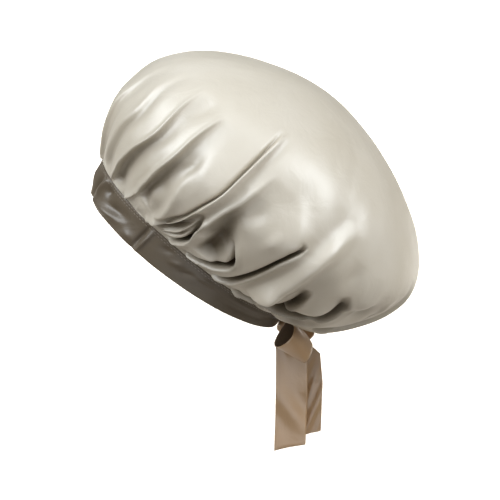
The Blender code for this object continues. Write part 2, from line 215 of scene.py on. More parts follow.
# Soft hollows between the folds: where, in degrees and as a share of the way up, how far they
# reach round and up in millimetres, and how deep they go. Where deep is negative it is a
# swelling. Hollows deeper than 3 mm get painted shade too.
HOLLOW_COLUMNS = ("angle", "share", "round", "up", "deep")
HOLLOWS = (
    (88, 0.25, 10.0, 16.0, 3.0),
    (113, 0.24, 7.0, 9.0, -6.0),
    (88, 0.47, 8.0, 12.0, 2.5),
    (97, 0.42, 6.0, 9.0, -2.5),
    (68, 0.30, 8.0, 16.0, -2.5),
    (59, 0.21, 8.0, 12.0, -4.5),
    (62, 0.44, 7.0, 16.0, 4.5),
    (49, 0.60, 9.0, 14.0, 3.0),
    (128, 0.46, 11.0, 13.0, 3.5),
    (139, 0.38, 9.0, 12.0, -5.0),
    (146, 0.34, 10.0, 12.0, 5.0),
    (130, 0.27, 7.0, 10.0, -4.0),
    (118, 0.62, 14.0, 20.0, 2.5),
    (97, 0.60, 12.0, 24.0, 2.0),
    (236, 0.34, 14.0, 22.0, 5.0),
    (270, 0.30, 13.0, 22.0, 5.5),
    (304, 0.33, 13.0, 22.0, 4.5),
    (201, 0.30, 12.0, 18.0, 4.0),
    (140, 0.10, 15.0, 11.0, 5.5),
)

# Small puckers along the seam, between the folds: how many, and the least and most width and rise
# in millimetres, and reach as a share of the way up
PUCKERS = 110
PUCKER_WIDTH = (1.5, 3.2)
PUCKER_REACH = (0.07, 0.26)
PUCKER_RISE = (0.5, 1.5)

# The depth of the knot's creases and how far its wrap stays inside the solid, in millimetres, and
# its mesh
KNOT_CREASE = 0.45
KNOT_INSET = 0.3
KNOT_RINGS = 64
KNOT_STEPS = 96

# The band's mesh: its columns, and its rows on the outer and on the inner face
BAND_STEPS_ROUND = 720
BAND_ROWS_OUTSIDE = 30
BAND_ROWS_INSIDE = 16

# The topstitching beside the seam: its rows as shares of the band's width, and each stitch's half
# length and half thickness in millimetres
STITCH_ROWS = (0.945, 0.875)
STITCHES_ROUND = 175
STITCH_HALF_LENGTH = 1.05
STITCH_HALF_THICKNESS = 0.30

# The meshes of the ribbons
LOOP_STEPS = 72
LOOP_COLUMNS = 17
TAIL_STEPS = 110
TAIL_COLUMNS = 25

# Satin: how strongly it bends light, and what is left of its tones and of its gloss under the shade
# painted deep in a fold
SATIN_IOR = 2.3
PAINTED_SHADE_TONE = (0.19, 0.16, 0.12)
PAINTED_SHADE_GLOSS = 0.30

# The camera, at the photo's angle, with its lens in millimetres
CAMERA_AZIMUTH = 95.0
CAMERA_ELEVATION = 15.0
CAMERA_DISTANCE = 1.5
CAMERA_TARGET = (0.0, 0.052, -0.0036)
CAMERA_LENS = 124.0

# The studio's surrounding light: almost even, a little brighter and cooler from above and from
# the side away from the camera
STUDIO_BRIGHT_WAY = (-0.42, -0.38, 0.82)
STUDIO_BRIGHT = 0.22
STUDIO_DIM = 0.21

# The studio's lamps: name, place, the point each looks at, size, power in watts, and the angle
# that its light spreads over in degrees. The first lights the floor behind the bonnet.
LAMP_TINT = (0.895, 0.952, 1.0)
LAMPS = (
    ("back_sweep", (-6.4, 0.1, 1.6), (-6.5, 0.1, -1.0), (8.0, 9.0), 1100.0, 125.0),
    ("low", (1.0, 0.05, -0.28), (0.0, 0.05, 0.0), (1.2, 0.8), 0.75, 110.0),
    ("top", (-0.18, -0.02, 0.72), (0.0, 0.05, 0.05), (0.8, 1.0), 0.5, 110.0),
    ("key", (0.45, 0.17, 0.71), (0.0, 0.05, 0.05), (1.6, 1.0), 2.75, 110.0),
    ("front", (0.34, -0.64, 0.62), (0.0, 0.0, 0.08), (0.7, 0.7), 2.6, 110.0),
    ("side", (0.34, 0.88, 0.52), (0.0, 0.08, 0.0), (0.7, 0.7), 2.3, 110.0),
)
FLOOR_DROP = 0.85
FLOOR_HALF = 14.0
FLOOR_COLOUR = (0.56, 0.50, 0.43)

TILT = math.radians(OPENING_TILT)
BACKWARD = np.array((0.0, math.cos(TILT), -math.sin(TILT)))
UPWARD = np.array((0.0, math.sin(TILT), math.cos(TILT)))
LEFTWARD = np.array((1.0, 0.0, 0.0))
MM = 0.001


def round_blend(angle, front, side, nape):
    """A value that is front at 0 degrees, side at 90 and 270, and nape at 180."""
    middle = ((front + nape) / 2 + side) / 2
    first = (front - nape) / 2
    second = ((front + nape) / 2 - side) / 2
    return middle + first * np.cos(angle) + second * np.cos(2 * angle)


def turn_from(angle, degrees):
    """How many degrees round from a place an angle in radians lies, between -180 and 180."""
    return (np.degrees(angle) - degrees + 180) % 360 - 180


def in_tilted_frame(back, left, up):
    """The point that is this far back, left and up from the middle of the tilted opening."""
    return back[..., None] * BACKWARD + left[..., None] * LEFTWARD + up[..., None] * UPWARD


def band_parts(angle, across, out):
    """(back, left, up) of a point of the band: across is 0 at its lower edge and 1 at its seam."""
    half_length, half_width = OPENING_LENGTH / 2, OPENING_WIDTH / 2
    back, left = -half_length * np.cos(angle), half_width * np.sin(angle)
    back_out, left_out = -half_width * np.cos(angle), half_length * np.sin(angle)
    size = np.hypot(back_out, left_out)
    width = round_blend(angle, BAND_WIDTH_FRONT, BAND_WIDTH_SIDE, BAND_WIDTH_NAPE)
    flare = np.radians(round_blend(angle, BAND_FLARE_FRONT, BAND_FLARE_SIDE, BAND_FLARE_NAPE))
    reach = (across - 0.5) * width
    away = out + reach * np.sin(flare)
    return back + away * back_out / size, left + away * left_out / size, reach * np.cos(flare)


def smooth_column(values, share):
    """A table's column read at a share of its length, by a Catmull-Rom curve through its rows."""
    values = np.asarray(values, float)
    place = np.clip(share, 0, 1) * (len(values) - 1)
    row = np.clip(place.astype(int), 0, len(values) - 2)
    part = place - row
    before, here, after = values[np.maximum(row - 1, 0)], values[row], values[row + 1]
    beyond = values[np.minimum(row + 2, len(values) - 1)]
    slope_here, slope_after = (after - before) / 2, (beyond - here) / 2
    cube, square = part**3, part**2
    return (
        (2 * cube - 3 * square + 1) * here
        + (cube - 2 * square + part) * slope_here
        + (3 * square - 2 * cube) * after
        + (cube - square) * slope_after
    )


def crown_base(angle, share):
    """The crown's outer surface without folds. share is 0 at the seam and 1 at the apex."""
    ring = {
        name: smooth_column(column, share) for name, column in zip(RING_COLUMNS, zip(*RINGS))
    }
    seam_out = (BAND_WALL + CROWN_WALL) / 2
    seam = band_parts(angle, 1.0, seam_out)
    half_length = OPENING_LENGTH / 2 + seam_out + ring["flare"] * CROWN_OVERHANG_LENGTH
    half_width = OPENING_WIDTH / 2 + seam_out + ring["side_flare"] * CROWN_OVERHANG_WIDTH
    rise = round_blend(angle, ring["front_rise"], ring["side_rise"], ring["nape_rise"])
    back = ring["lean"] * CROWN_LEAN_BACK - half_length * ring["keep"] * np.cos(angle)
    left = half_width * ring["keep"] * np.sin(angle)
    seam_up = seam[2] + SEAT_GAP
    up = seam_up + (CROWN_HEIGHT - seam_up) * rise
    ring_back = RINGS[0][3] * CROWN_LEAN_BACK - (OPENING_LENGTH / 2 + seam_out) * np.cos(angle)
    ring_left = (OPENING_WIDTH / 2 + seam_out) * np.sin(angle)
    pull = np.clip(1 - share * 4, 0, 1) ** 2
    back = back + pull * (seam[0] - ring_back)
    left = left + pull * (seam[1] - ring_left)
    return in_tilted_frame(back, left, up)


def unit_rows(vectors):
    """The vectors of an array, each made 1 long."""
    return vectors / np.maximum(np.linalg.norm(vectors, axis=-1, keepdims=True), 1e-12)


def waves(angle, share, seed, counts, ups):
    """A smooth, repeatable field between about -1 and 1 made of a few mixed waves."""
    rng = np.random.default_rng(seed)
    total = np.zeros(np.broadcast(angle, share).shape)
    for count in counts:
        for up in ups:
            turn, size = rng.uniform(0, 2 * math.pi), rng.uniform(0.5, 1.0)
            total += size * np.sin(count * angle + up * math.pi * share * rng.choice((-1, 1)) + turn)
    return total / math.sqrt(len(counts) * len(ups))


def crease_place(crease, angle, share, radius, climb):
    """Where the surface's points lie by a crease: which are near it, how far off they are to its
    right in millimetres, the way that is right, and their share of its length."""
    points = np.array(crease["points"], float)
    turns = smooth_column(points[:, 0], np.linspace(0, 1, CREASE_STEPS))
    shares = smooth_column(points[:, 1], np.linspace(0, 1, CREASE_STEPS))
    degrees = turn_from(angle, 0)
    near = degrees > turns.min() - CREASE_REACH_ROUND
    near &= degrees < turns.max() + CREASE_REACH_ROUND
    near &= share > shares.min() - CREASE_REACH_UP
    near &= share < shares.max() + CREASE_REACH_UP
    degrees, share = degrees[near], share[near]
    round_mm, up_mm = radius[near] / MM, climb[near] / MM
    best = np.full(degrees.shape, 1e9)
    off, part = np.zeros(degrees.shape), np.zeros(degrees.shape)
    across = np.zeros((2, *degrees.shape))
    for step in range(CREASE_STEPS - 1):
        along = (
            np.radians(turns[step + 1] - turns[step]) * round_mm,
            (shares[step + 1] - shares[step]) * up_mm,
        )
        here = np.radians(degrees - turns[step]) * round_mm, (share - shares[step]) * up_mm
        length = along[0] ** 2 + along[1] ** 2
        place = np.clip((here[0] * along[0] + here[1] * along[1]) / length, 0, 1)
        aside = here[0] - place * along[0], here[1] - place * along[1]
        distance = np.hypot(*aside)
        size = np.sqrt(length)
        right = along[1] / size, -along[0] / size
        closer = distance < best
        best[closer] = distance[closer]
        sign = np.where(here[0] * right[0] + here[1] * right[1] < 0, -1.0, 1.0)
        off[closer] = (sign * distance)[closer]
        part[closer] = ((step + place) / (CREASE_STEPS - 1))[closer]
        across[0][closer], across[1][closer] = right[0][closer], right[1][closer]
    return near, off, across, part


class Relief:
    """What the crown's cloth adds to its smooth form, point by point. lift is outwards, aside is
    round the crown and climb is up it, all in millimetres. shade is painted shade, from 0 to 1,
    laid on as deep as a point lies in a fold or a pocket."""

    def __init__(self, shape):
        self.lift, self.aside, self.climb, self.shade = (np.zeros(shape) for _ in range(4))

    def darken(self, shade, near=...):
        """Deepens the painted shade of the points that are near to at least this much."""
        self.shade[near] = np.maximum(self.shade[near], shade)


def add_folds(relief, angle, share, radius):
    """Adds the long folds, each with a soft and a steep face and a trough under the steep one, with
    shade painted in the trough.
    """
    wander = np.radians(FOLD_WANDER) * waves(angle, share, 5, (3, 7), (2, 4))
    for row in FOLDS:
        fold = dict(zip(FOLD_COLUMNS, row))
        part = share / fold["top"]
        first = fold["middle"] * 4 - fold["seam"] * 3 - fold["end"]
        second = (fold["seam"] + fold["end"]) * 2 - fold["middle"] * 4
        near = np.clip(part, 0, 1.2)
        line = fold["seam"] + first * near + second * near**2
        rise = np.clip(part / 0.10, 0, 1) ** 0.8
        fade = rise * np.clip(1 - part**2.4, 0, 1) ** 1.1
        line -= np.degrees(fold["side"] * fold["lean"] * fold["crest"] * fade * MM / radius)
        off = np.radians(turn_from(angle + wander, line)) * radius * fold["side"] / MM
        spread = 0.75 + 0.55 * near
        steep = np.where(off > 0, 0.60, 2.0) * fold["width"] * spread
        crest = np.exp(-np.abs(off / steep) ** 1.7)
        deep = np.clip(1 - part, 0, 1) ** 0.7 * np.clip(part / 0.14, 0, 1) ** 1.2
        middle = 0.6 * fold["width"] + 0.9 * fold["trough_width"]
        trough = np.exp(-np.abs((off - middle) / (fold["trough_width"] * spread)) ** 2.0)
        relief.lift += fold["crest"] * fade * crest - fold["trough"] * deep * trough
        # Shade painted into the trough
        relief.darken(fold["trough"] / 16 * deep * trough)
        tip = fold["lean"] * fold["crest"] * fade * np.exp(-((off / (1.05 * steep)) ** 2))
        relief.aside += fold["side"] * tip


def add_hollows(relief, angle, share, radius, climb):
    """Adds the soft hollows and swellings, with shade painted in the deeper hollows."""
    for row in HOLLOWS:
        hollow = dict(zip(HOLLOW_COLUMNS, row))
        turn = turn_from(angle, hollow["angle"])
        across = np.radians(turn) * radius / MM / hollow["round"]
        along = (share - hollow["share"]) * climb / MM / hollow["up"]
        dent = np.exp(-(across**2 + along**2))
        relief.lift -= hollow["deep"] * dent
        # Shade painted into hollows deeper than 3 mm
        dark = np.clip((hollow["deep"] - 3) / 6, 0, 0.9)
        relief.darken(dark * np.clip(1.5 * dent, 0, 1) ** 1.5)


def add_creases(relief, angle, share, radius, climb):
    """Adds the creases, whose lips lean over the pockets beside them, with shade painted in the
    pockets.
    """
    for row in CREASES:
        crease = dict(zip(CREASE_COLUMNS, row))
        near, off, across, part = crease_place(crease, angle, share, radius, climb)
        lean = np.interp(part, (0, 1), crease["lean"])
        fade = np.clip(part / 0.12, 0, 1) ** 0.7 * np.clip(1 - part ** crease["tip"], 0, 1)
        off = off + lean * fade
        bumps = crease["high"] * fade * np.exp(-((off / crease["wide"]) ** 2))
        from_seam = np.clip(share[near] / 0.075, 0, 1) ** 1.2
        for way, side in ((1, "right"), (-1, "left")):
            deep, wide = crease[side + "_deep"], crease[side + "_wide"]
            past = off * way - crease["wide"] - 0.9 * wide
            slope = wide * np.where(past > 0, max(1.0, 0.36 * wide), 1.0)
            hole = np.exp(-((past / slope) ** 2)) * from_seam
            bumps -= deep * fade * hole
            # Shade painted into the pocket
            relief.darken(deep / 10 * fade * hole, near)
        tipped = lean * fade * np.exp(-((off / (1.25 * crease["wide"])) ** 2))
        relief.lift[near] += bumps
        relief.aside[near] += tipped * across[0]
        relief.climb[near] += tipped * across[1]


def add_puckers(relief, angle, share, radius):
    """Adds the puckers and the fine gathers at the seam, fainter on the front left side."""
    rng = np.random.default_rng(7)
    open_side = np.cos(angle - math.radians(60)) > 0.72
    for _ in range(PUCKERS):
        line, drift = rng.uniform(0, 360), rng.uniform(-9, 9)
        width, reach = rng.uniform(*PUCKER_WIDTH), rng.uniform(*PUCKER_REACH)
        size = rng.uniform(*PUCKER_RISE) * rng.choice((-1, 1)) * np.where(open_side, 0.25, 1.0)
        part = share / reach
        turn = turn_from(angle, line + drift * part)
        off = np.radians(turn) * radius / MM / (width * (0.8 + 0.7 * part))
        fade = np.clip(part / 0.15, 0, 1) * np.clip(1 - part, 0, 1) ** 1.3
        relief.lift += size * np.exp(-(off**2)) * fade
    gather = np.exp(-share / 0.055) * np.clip(share / 0.012, 0, 1)
    gather = gather * np.where(open_side, 0.35, 1.0)
    relief.lift += 1.1 * gather * waves(angle, share, 11, (53, 71, 89), (1, 3))


def add_ripples(relief, angle, share):
    """Adds the cloth's broad waves and small ripples, which fade out at the seam and the apex."""
    calm = np.clip(share / 0.1, 0, 1) * np.clip((1 - share) / 0.45, 0, 1) ** 1.5
    relief.lift += 1.1 * calm * waves(angle, share, 23, (2, 5, 9), (2, 3, 6))
    relief.lift += 0.20 * calm * waves(angle, share, 31, (17, 26, 37), (5, 9, 14))


def crown_surface(angle, share):
    """The crown's outer surface with its folds, and the shade painted at each point, deepest in the
    folds, pockets and hollows.
    """
    step = 1e-3
    base = crown_base(angle, share)
    held = np.clip(share, 0.004, 0.975)
    aside = crown_base(angle + step, held) - crown_base(angle - step, held)
    upward = crown_base(angle, held + step) - crown_base(angle, held - step)
    normal = unit_rows(np.cross(aside, upward))
    radius = np.linalg.norm(aside, axis=-1) / (2 * step)
    climb = np.linalg.norm(upward, axis=-1) / (2 * step)
    relief = Relief(base.shape[:-1])
    add_folds(relief, angle, share, radius)
    add_hollows(relief, angle, share, radius, climb)
    add_creases(relief, angle, share, radius, climb)
    add_puckers(relief, angle, share, radius)
    add_ripples(relief, angle, share)
    moved = relief.lift[..., None] * normal
    moved = moved + relief.aside[..., None] * unit_rows(aside)
    moved = moved + relief.climb[..., None] * unit_rows(upward)
    return base + MM * moved, np.clip(relief.shade, 0, 1)


def grid_faces(rows, columns, closed=False):
    """Quads of a grid of corners stored row after row. closed joins the last column to the first."""
    row, column = np.meshgrid(
        np.arange(rows - 1), np.arange(columns if closed else columns - 1), indexing="ij"
    )
    onward = (column + 1) % columns
    low, high = row * columns, (row + 1) * columns
    return np.stack((low + column, low + onward, high + onward, high + column), -1).reshape(-1, 4)


def make_piece(name, corners, faces, material, smooth=True):
    """An object with this mesh and material."""
    data = bpy.data.meshes.new(name)
    corners = [tuple(map(float, corner)) for corner in corners]
    faces = [tuple(map(int, face)) for face in faces]
    data.from_pydata(corners, [], faces)
    data.update()
    for face in data.polygons:
        face.use_smooth = smooth
    data.materials.append(material)
    thing = bpy.data.objects.new(name, data)
    bpy.context.scene.collection.objects.link(thing)
    return thing


def set_painted_shade(piece, values):
    """Stores the shade painted at each corner, which darkens the satin's tones and dulls its gloss."""
    painted_shade_mask = piece.data.attributes.new("painted_shade", "FLOAT", "POINT")
    painted_shade_mask.data.foreach_set("value", values)


def seam_rows(angle):
    """The crown's edge, turned in over the top of the band."""
    rows = []
    for out, above in TURNED_EDGE:
        back, left, up = band_parts(angle, 1.0, out)
        rows.append(in_tilted_frame(back, left, up + above))
    return rows


def make_crown(material):
    """The crown's cloth, one wall from the turned edge at the band up to the apex."""
    # One place every quarter of a degree
    even = np.linspace(0, 2 * math.pi, 1441)
    inside = CLOSE_REACH - np.abs(np.degrees(even) - CLOSE_MIDDLE)
    crowd = 1 + CLOSE_GAIN / (1 + np.exp(-inside / CLOSE_BLUR))
    total = np.concatenate(([0], np.cumsum((crowd[1:] + crowd[:-1]) / 2)))
    angle = np.interp(np.arange(CROWN_STEPS_ROUND) / CROWN_STEPS_ROUND, total / total[-1], even)
    step = np.linspace(0, 1, CROWN_STEPS_UP + 1)[:-1]
    share = (1 - CLOSE_AT_SEAM) * step + CLOSE_AT_SEAM * step**3.2
    share_grid, angle_grid = np.meshgrid(share, angle, indexing="ij")
    body, shade = crown_surface(angle_grid, share_grid)
    corners = np.concatenate((seam_rows(angle), body)).reshape(-1, 3)
    rows = len(corners) // CROWN_STEPS_ROUND
    apex = crown_base(np.array([0.0]), np.array([1.0]))
    faces = grid_faces(rows, CROWN_STEPS_ROUND, closed=True).tolist()
    start = (rows - 1) * CROWN_STEPS_ROUND
    for place in range(CROWN_STEPS_ROUND):
        faces.append([start + place, start + (place + 1) % CROWN_STEPS_ROUND, len(corners)])
    corners = np.concatenate((corners, apex))
    crown = make_piece("crown_cloth", corners, faces, material)
    # Painted shade: half on the turned edge at the seam, the folds' own on the cloth and none at the
    # apex
    edge = np.full(len(TURNED_EDGE) * CROWN_STEPS_ROUND, 0.5)
    set_painted_shade(crown, np.concatenate((edge, shade.ravel(), [0.0])))
    return crown


# Creases and swellings of the band: where, in degrees and as a share of its width from the
# lower edge, how far they reach round and across in millimetres, their slant in degrees, and
# how far they stand out.
BAND_FOLD_COLUMNS = ("angle", "across", "round", "wide", "slant", "out")
BAND_FOLDS = (
    (8, 0.50, 10.0, 10.0, 0, 2.6),
    (19, 0.40, 4.0, 14.0, 20, -5.0),
    (27, 0.60, 3.6, 13.0, 24, 3.6),
    (35, 0.72, 4.2, 5.0, 20, -3.2),
    (40, 0.18, 14.0, 3.6, -12, 3.4),
    (47, 0.50, 11.0, 4.4, -10, -3.4),
    (60, 0.20, 6.0, 4.0, 0, 1.8),
    (66, 0.50, 1.8, 13.0, 8, -2.8),
    (69, 0.45, 1.7, 13.0, 8, 2.2),
    (80, 0.72, 6.0, 3.0, -24, -1.6),
    (88, 0.60, 6.0, 2.2, -24, 1.5),
    (94, 0.50, 7.0, 2.4, -24, -1.5),
    (104, 0.72, 9.0, 2.0, -6, 1.1),
    (128, 0.72, 30.0, 1.8, 0, 0.7),
    (134, 0.40, 26.0, 2.0, 0, -0.6),
    (152, 0.70, 16.0, 1.8, 4, 0.8),
    (205, 0.55, 18.0, 2.2, 0, 0.8),
    (232, 0.45, 20.0, 2.6, 4, -0.8),
    (250, 0.60, 6.0, 6.0, -10, 1.0),
    (268, 0.50, 2.2, 12.0, -8, -1.6),
    (290, 0.42, 12.0, 4.0, 10, 1.2),
    (300, 0.66, 9.0, 4.0, 10, -1.2),
    (322, 0.50, 3.5, 12.0, -16, -2.4),
    (331, 0.45, 6.0, 9.0, -12, 1.8),
    (346, 0.55, 3.5, 11.0, 10, -1.2),
)


def band_point(angle, across, out):
    """A point of the creased band. out is 0 on its inner face and 1 on its outer face."""
    width = round_blend(angle, BAND_WIDTH_FRONT, BAND_WIDTH_SIDE, BAND_WIDTH_NAPE) / MM
    radius = np.hypot(OPENING_LENGTH / 2 * np.sin(angle), OPENING_WIDTH / 2 * np.cos(angle)) / MM
    lift = np.zeros(np.broadcast(angle, across).shape)
    for row in BAND_FOLDS:
        fold = dict(zip(BAND_FOLD_COLUMNS, row))
        along = np.radians(turn_from(angle, fold["angle"])) * radius
        over = (across - fold["across"]) * width
        slant = math.radians(fold["slant"])
        aside = along * math.cos(slant) - over * math.sin(slant)
        upright = along * math.sin(slant) + over * math.cos(slant)
        lift += fold["out"] * np.exp(-((aside / fold["round"]) ** 2) - (upright / fold["wide"]) ** 2)
    edge = np.clip((1 - across) / 0.12, 0, 1)
    lift = lift * edge + 0.25 * edge * waves(angle, across, 41, (4, 9, 17), (1, 2))
    return in_tilted_frame(*band_parts(angle, across, BAND_WALL * out + lift * MM))


def make_band(material):
    """The band, a closed strip of doubled cloth with rounded edges."""
    angle = np.linspace(0, 2 * math.pi, BAND_STEPS_ROUND, endpoint=False)
    outside = np.linspace(0.02, 0.98, BAND_ROWS_OUTSIDE)
    inside = np.linspace(0.98, 0.02, BAND_ROWS_INSIDE)
    across = np.concatenate(([0.0, 0.004], outside, [0.996, 1.0, 0.996], inside, [0.004]))
    out = np.concatenate((
        [0.5, 0.85], np.ones(BAND_ROWS_OUTSIDE), [0.85, 0.5, 0.15], np.zeros(BAND_ROWS_INSIDE), [0.15],
    ))
    across_grid, angle_grid = np.meshgrid(across, angle, indexing="ij")
    out_grid = np.broadcast_to(out[:, None], across_grid.shape)
    corners = band_point(angle_grid, across_grid, out_grid).reshape(-1, 3)
    faces = grid_faces(len(across), len(angle), closed=True)
    start = (len(across) - 1) * len(angle)
    last = [
        (start + i, start + (i + 1) % len(angle), (i + 1) % len(angle), i)
        for i in range(len(angle))
    ]
    return make_piece("band_cloth", corners, np.concatenate((faces, last)), material)


def make_stitches(material):
    """Two rows of topstitching beside the seam, each stitch a small pillow of thread."""
    corners, faces = [], []
    rings, sides = 5, 6
    for row in STITCH_ROWS:
        shift = 0.5 * (row == STITCH_ROWS[1])
        for index in range(STITCHES_ROUND):
            angle = np.array(2 * math.pi * (index + shift) / STITCHES_ROUND)
            here = band_point(angle, np.array(row), np.array(1.0))
            ahead = band_point(angle + 0.004, np.array(row), np.array(1.0))
            up = unit_rows(band_point(angle, np.array(row + 0.02), np.array(1.0)) - here)
            along = unit_rows(ahead - here)
            outward = unit_rows(np.cross(along, up))
            first = len(corners)
            for ring in range(rings):
                place = 2 * ring / (rings - 1) - 1
                middle = here + along * place * STITCH_HALF_LENGTH * MM
                size = STITCH_HALF_THICKNESS * MM * math.sqrt(max(1 - place**2, 0.10))
                for corner in range(sides):
                    turn = 2 * math.pi * corner / sides
                    way = math.cos(turn) * up + math.sin(turn) * 0.8 * outward
                    corners.append(middle + way * size)
            faces += (grid_faces(rings, sides, closed=True) + first).tolist()
            faces.append([first + corner for corner in reversed(range(sides))])
            faces.append([len(corners) - sides + corner for corner in range(sides)])
    return make_piece("band_stitches", corners, faces, material)


def knot_centre():
    """The middle of the knot, which sits behind the band at the nape."""
    nape = np.array(math.pi)
    back = band_parts(nape, np.array(0.0), BAND_WALL)[0] + SEAT_GAP + KNOT_DEPTH / 2
    return back * BACKWARD - KNOT_DROP * UPWARD


def knot_reach(way):
    """How far the knot's surface is from its middle along a unit direction."""
    sizes = ((BACKWARD, KNOT_DEPTH), (LEFTWARD, KNOT_WIDTH), (UPWARD, KNOT_HEIGHT))
    total = sum(abs(way @ axis / (size / 2)) ** 3 for axis, size in sizes)
    return total ** (-1 / 3)


def make_knot(material):
    """The wrapped middle of the bow: a rounded block with the ribbon's creases running round it."""
    centre = knot_centre()
    corners = []
    for ring in range(1, KNOT_RINGS):
        polar = math.pi * ring / KNOT_RINGS
        for place in range(KNOT_STEPS):
            turn = 2 * math.pi * place / KNOT_STEPS
            way = (
                math.sin(polar) * math.cos(turn) * BACKWARD
                + math.cos(polar) * LEFTWARD
                + math.sin(polar) * math.sin(turn) * UPWARD
            )
            side = math.cos(polar) * 7.0
            crease = math.sin(side + 0.7 * math.sin(turn + 0.4)) + 0.5 * math.sin(2.3 * side + turn)
            lift = KNOT_CREASE * crease * math.sin(polar) - KNOT_INSET
            corners.append(centre + (knot_reach(way) + lift * MM) * way)
    faces = grid_faces(KNOT_RINGS - 1, KNOT_STEPS, closed=True).tolist()
    for end, way in ((0, LEFTWARD), (KNOT_RINGS - 2, -LEFTWARD)):
        tip = len(corners)
        corners.append(centre + (knot_reach(way) - KNOT_INSET * MM) * way)
        for place in range(KNOT_STEPS):
            pair = (end * KNOT_STEPS + place, end * KNOT_STEPS + (place + 1) % KNOT_STEPS)
            faces.append((*(pair[::-1] if end == 0 else pair), tip))
    return make_piece("knot_wrap", corners, faces, material)


def knot_lowest():
    """The lowest point of the knot."""
    sizes = ((BACKWARD, KNOT_DEPTH / 2), (LEFTWARD, KNOT_WIDTH / 2), (UPWARD, KNOT_HEIGHT / 2))
    down = np.array((0.0, 0.0, -1.0))
    pulls = [half * (down @ axis) for axis, half in sizes]
    total = sum(abs(pull) ** 1.5 for pull in pulls) ** (1 / 3)
    steps = (
        axis * half * math.copysign(math.sqrt(abs(pull)), pull) / total
        for (axis, half), pull in zip(sizes, pulls)
    )
    return knot_centre() + sum(steps)


def unit(x, y, z):
    """A vector made 1 long."""
    way = np.array((x, y, z), float)
    return way / np.linalg.norm(way)


def give_thickness(strip):
    """Makes a ribbon as thick as its cloth, half to each side."""
    solid = strip.modifiers.new("cloth", "SOLIDIFY")
    solid.thickness = RIBBON_CLOTH
    solid.offset = 0.0
    return solid


def make_ribbon(name, middle, across, half_width, lift, material, inside):
    """A strip of ribbon with woven edges, and on its inner side another material, darker with
    painted shade: middle points, ways across, half widths, and how far each point is lifted off
    the strip in metres, as a function of the share along it and the place across."""
    along = np.gradient(middle, axis=0)
    normal = unit_rows(np.cross(along, across))
    corners = []
    for row in range(len(middle)):
        for column in range(LOOP_COLUMNS):
            place = 2 * column / (LOOP_COLUMNS - 1) - 1
            hem = 0.12 * MM if 0.84 < abs(place) < 0.95 else 0.0
            corners.append(
                middle[row]
                + across[row] * half_width[row] * place
                + normal[row] * (lift(row / (len(middle) - 1), place) + hem)
            )
    strip = make_piece(name, corners, grid_faces(len(middle), LOOP_COLUMNS), material)
    # The inner side, darker with painted shade inside the loop
    strip.data.materials.append(inside)
    give_thickness(strip).material_offset = 1
    return strip


def make_loop(name, side, material, inside):
    """A loop of the bow that droops beside the knot, pinched at its root and wider open at one
    edge. side is 1 on the left and -1 on the right."""
    droop = unit(0.80 * side, -0.12, -0.52)
    across = unit(0.22 * side, -0.66, 0.70)
    across = across - droop * (across @ droop)
    across = across / np.linalg.norm(across)
    bulge = np.cross(across, droop) * side
    root_way = unit(side, 0.0, -0.10)
    spread = 1.1 * RIBBON_WALL
    seat = SEAT_GAP + RIBBON_WALL / 2 + spread * abs(bulge @ root_way)
    root = knot_centre() + (knot_reach(root_way) + seat) * root_way
    root = root + LOOP_ROOT_MOVED
    part = np.linspace(0, 1, LOOP_STEPS + 1)
    along = LOOP_LENGTH * (1 - np.cos(2 * math.pi * part)) / 2
    out = LOOP_BULGE * 0.65 * np.sin(2 * math.pi * part) * np.sin(math.pi * part)
    out = out + (1 - 2 * part) * spread
    clear = 0.42 * LOOP_BULGE * np.sin(math.pi * part) ** 1.2
    middle = root + along[:, None] * droop + out[:, None] * bulge
    middle = middle + clear[:, None] * side * LEFTWARD
    opened = np.clip(np.sin(math.pi * part) * 1.6, 0, 1) ** 1.3
    middle = middle - across * (LOOP_SHIFT * RIBBON_WIDTH * opened)[:, None]
    at_root = across - root_way * (across @ root_way)
    ways = unit_rows(at_root + (across - at_root) * opened[:, None])
    half = (0.34 + 0.66 * opened) * RIBBON_WIDTH / 2
    ways = ways + bulge * (LOOP_TAPER * out / (RIBBON_WIDTH / 2) * opened)[:, None]

    def lift(share, place):
        near_root = math.exp(-min(share, 1 - share) / 0.09)
        return MM * (1.0 * near_root * math.cos(place * 6.0) + 0.4 * place * math.sin(9 * share))

    return make_ribbon(name, middle, ways, half, lift, material, inside)


# The tails, from the knot down: the share of the length, then how far back, how far left and how
# wide, in ribbon widths. Their ends are cut at a slant, also in ribbon widths.
TAIL_ROW_NAMES = ("along", "back", "left", "width")
LEFT_TAIL_ROWS = (
    (0.00, 0.00, 0.00, 0.36),
    (0.07, 0.06, 0.00, 0.62),
    (0.20, 0.25, 0.01, 1.00),
    (0.50, 0.26, 0.06, 1.00),
    (1.00, 0.21, 0.04, 1.00),
)
RIGHT_TAIL_ROWS = (
    (0.00, 0.00, 0.00, 0.36),
    (0.07, 0.34, -0.05, 0.74),
    (0.20, 0.64, -0.14, 1.00),
    (0.50, 0.72, -0.22, 1.00),
    (1.00, 0.68, -0.16, 1.00),
)
TAIL_END_SLANT = 0.25


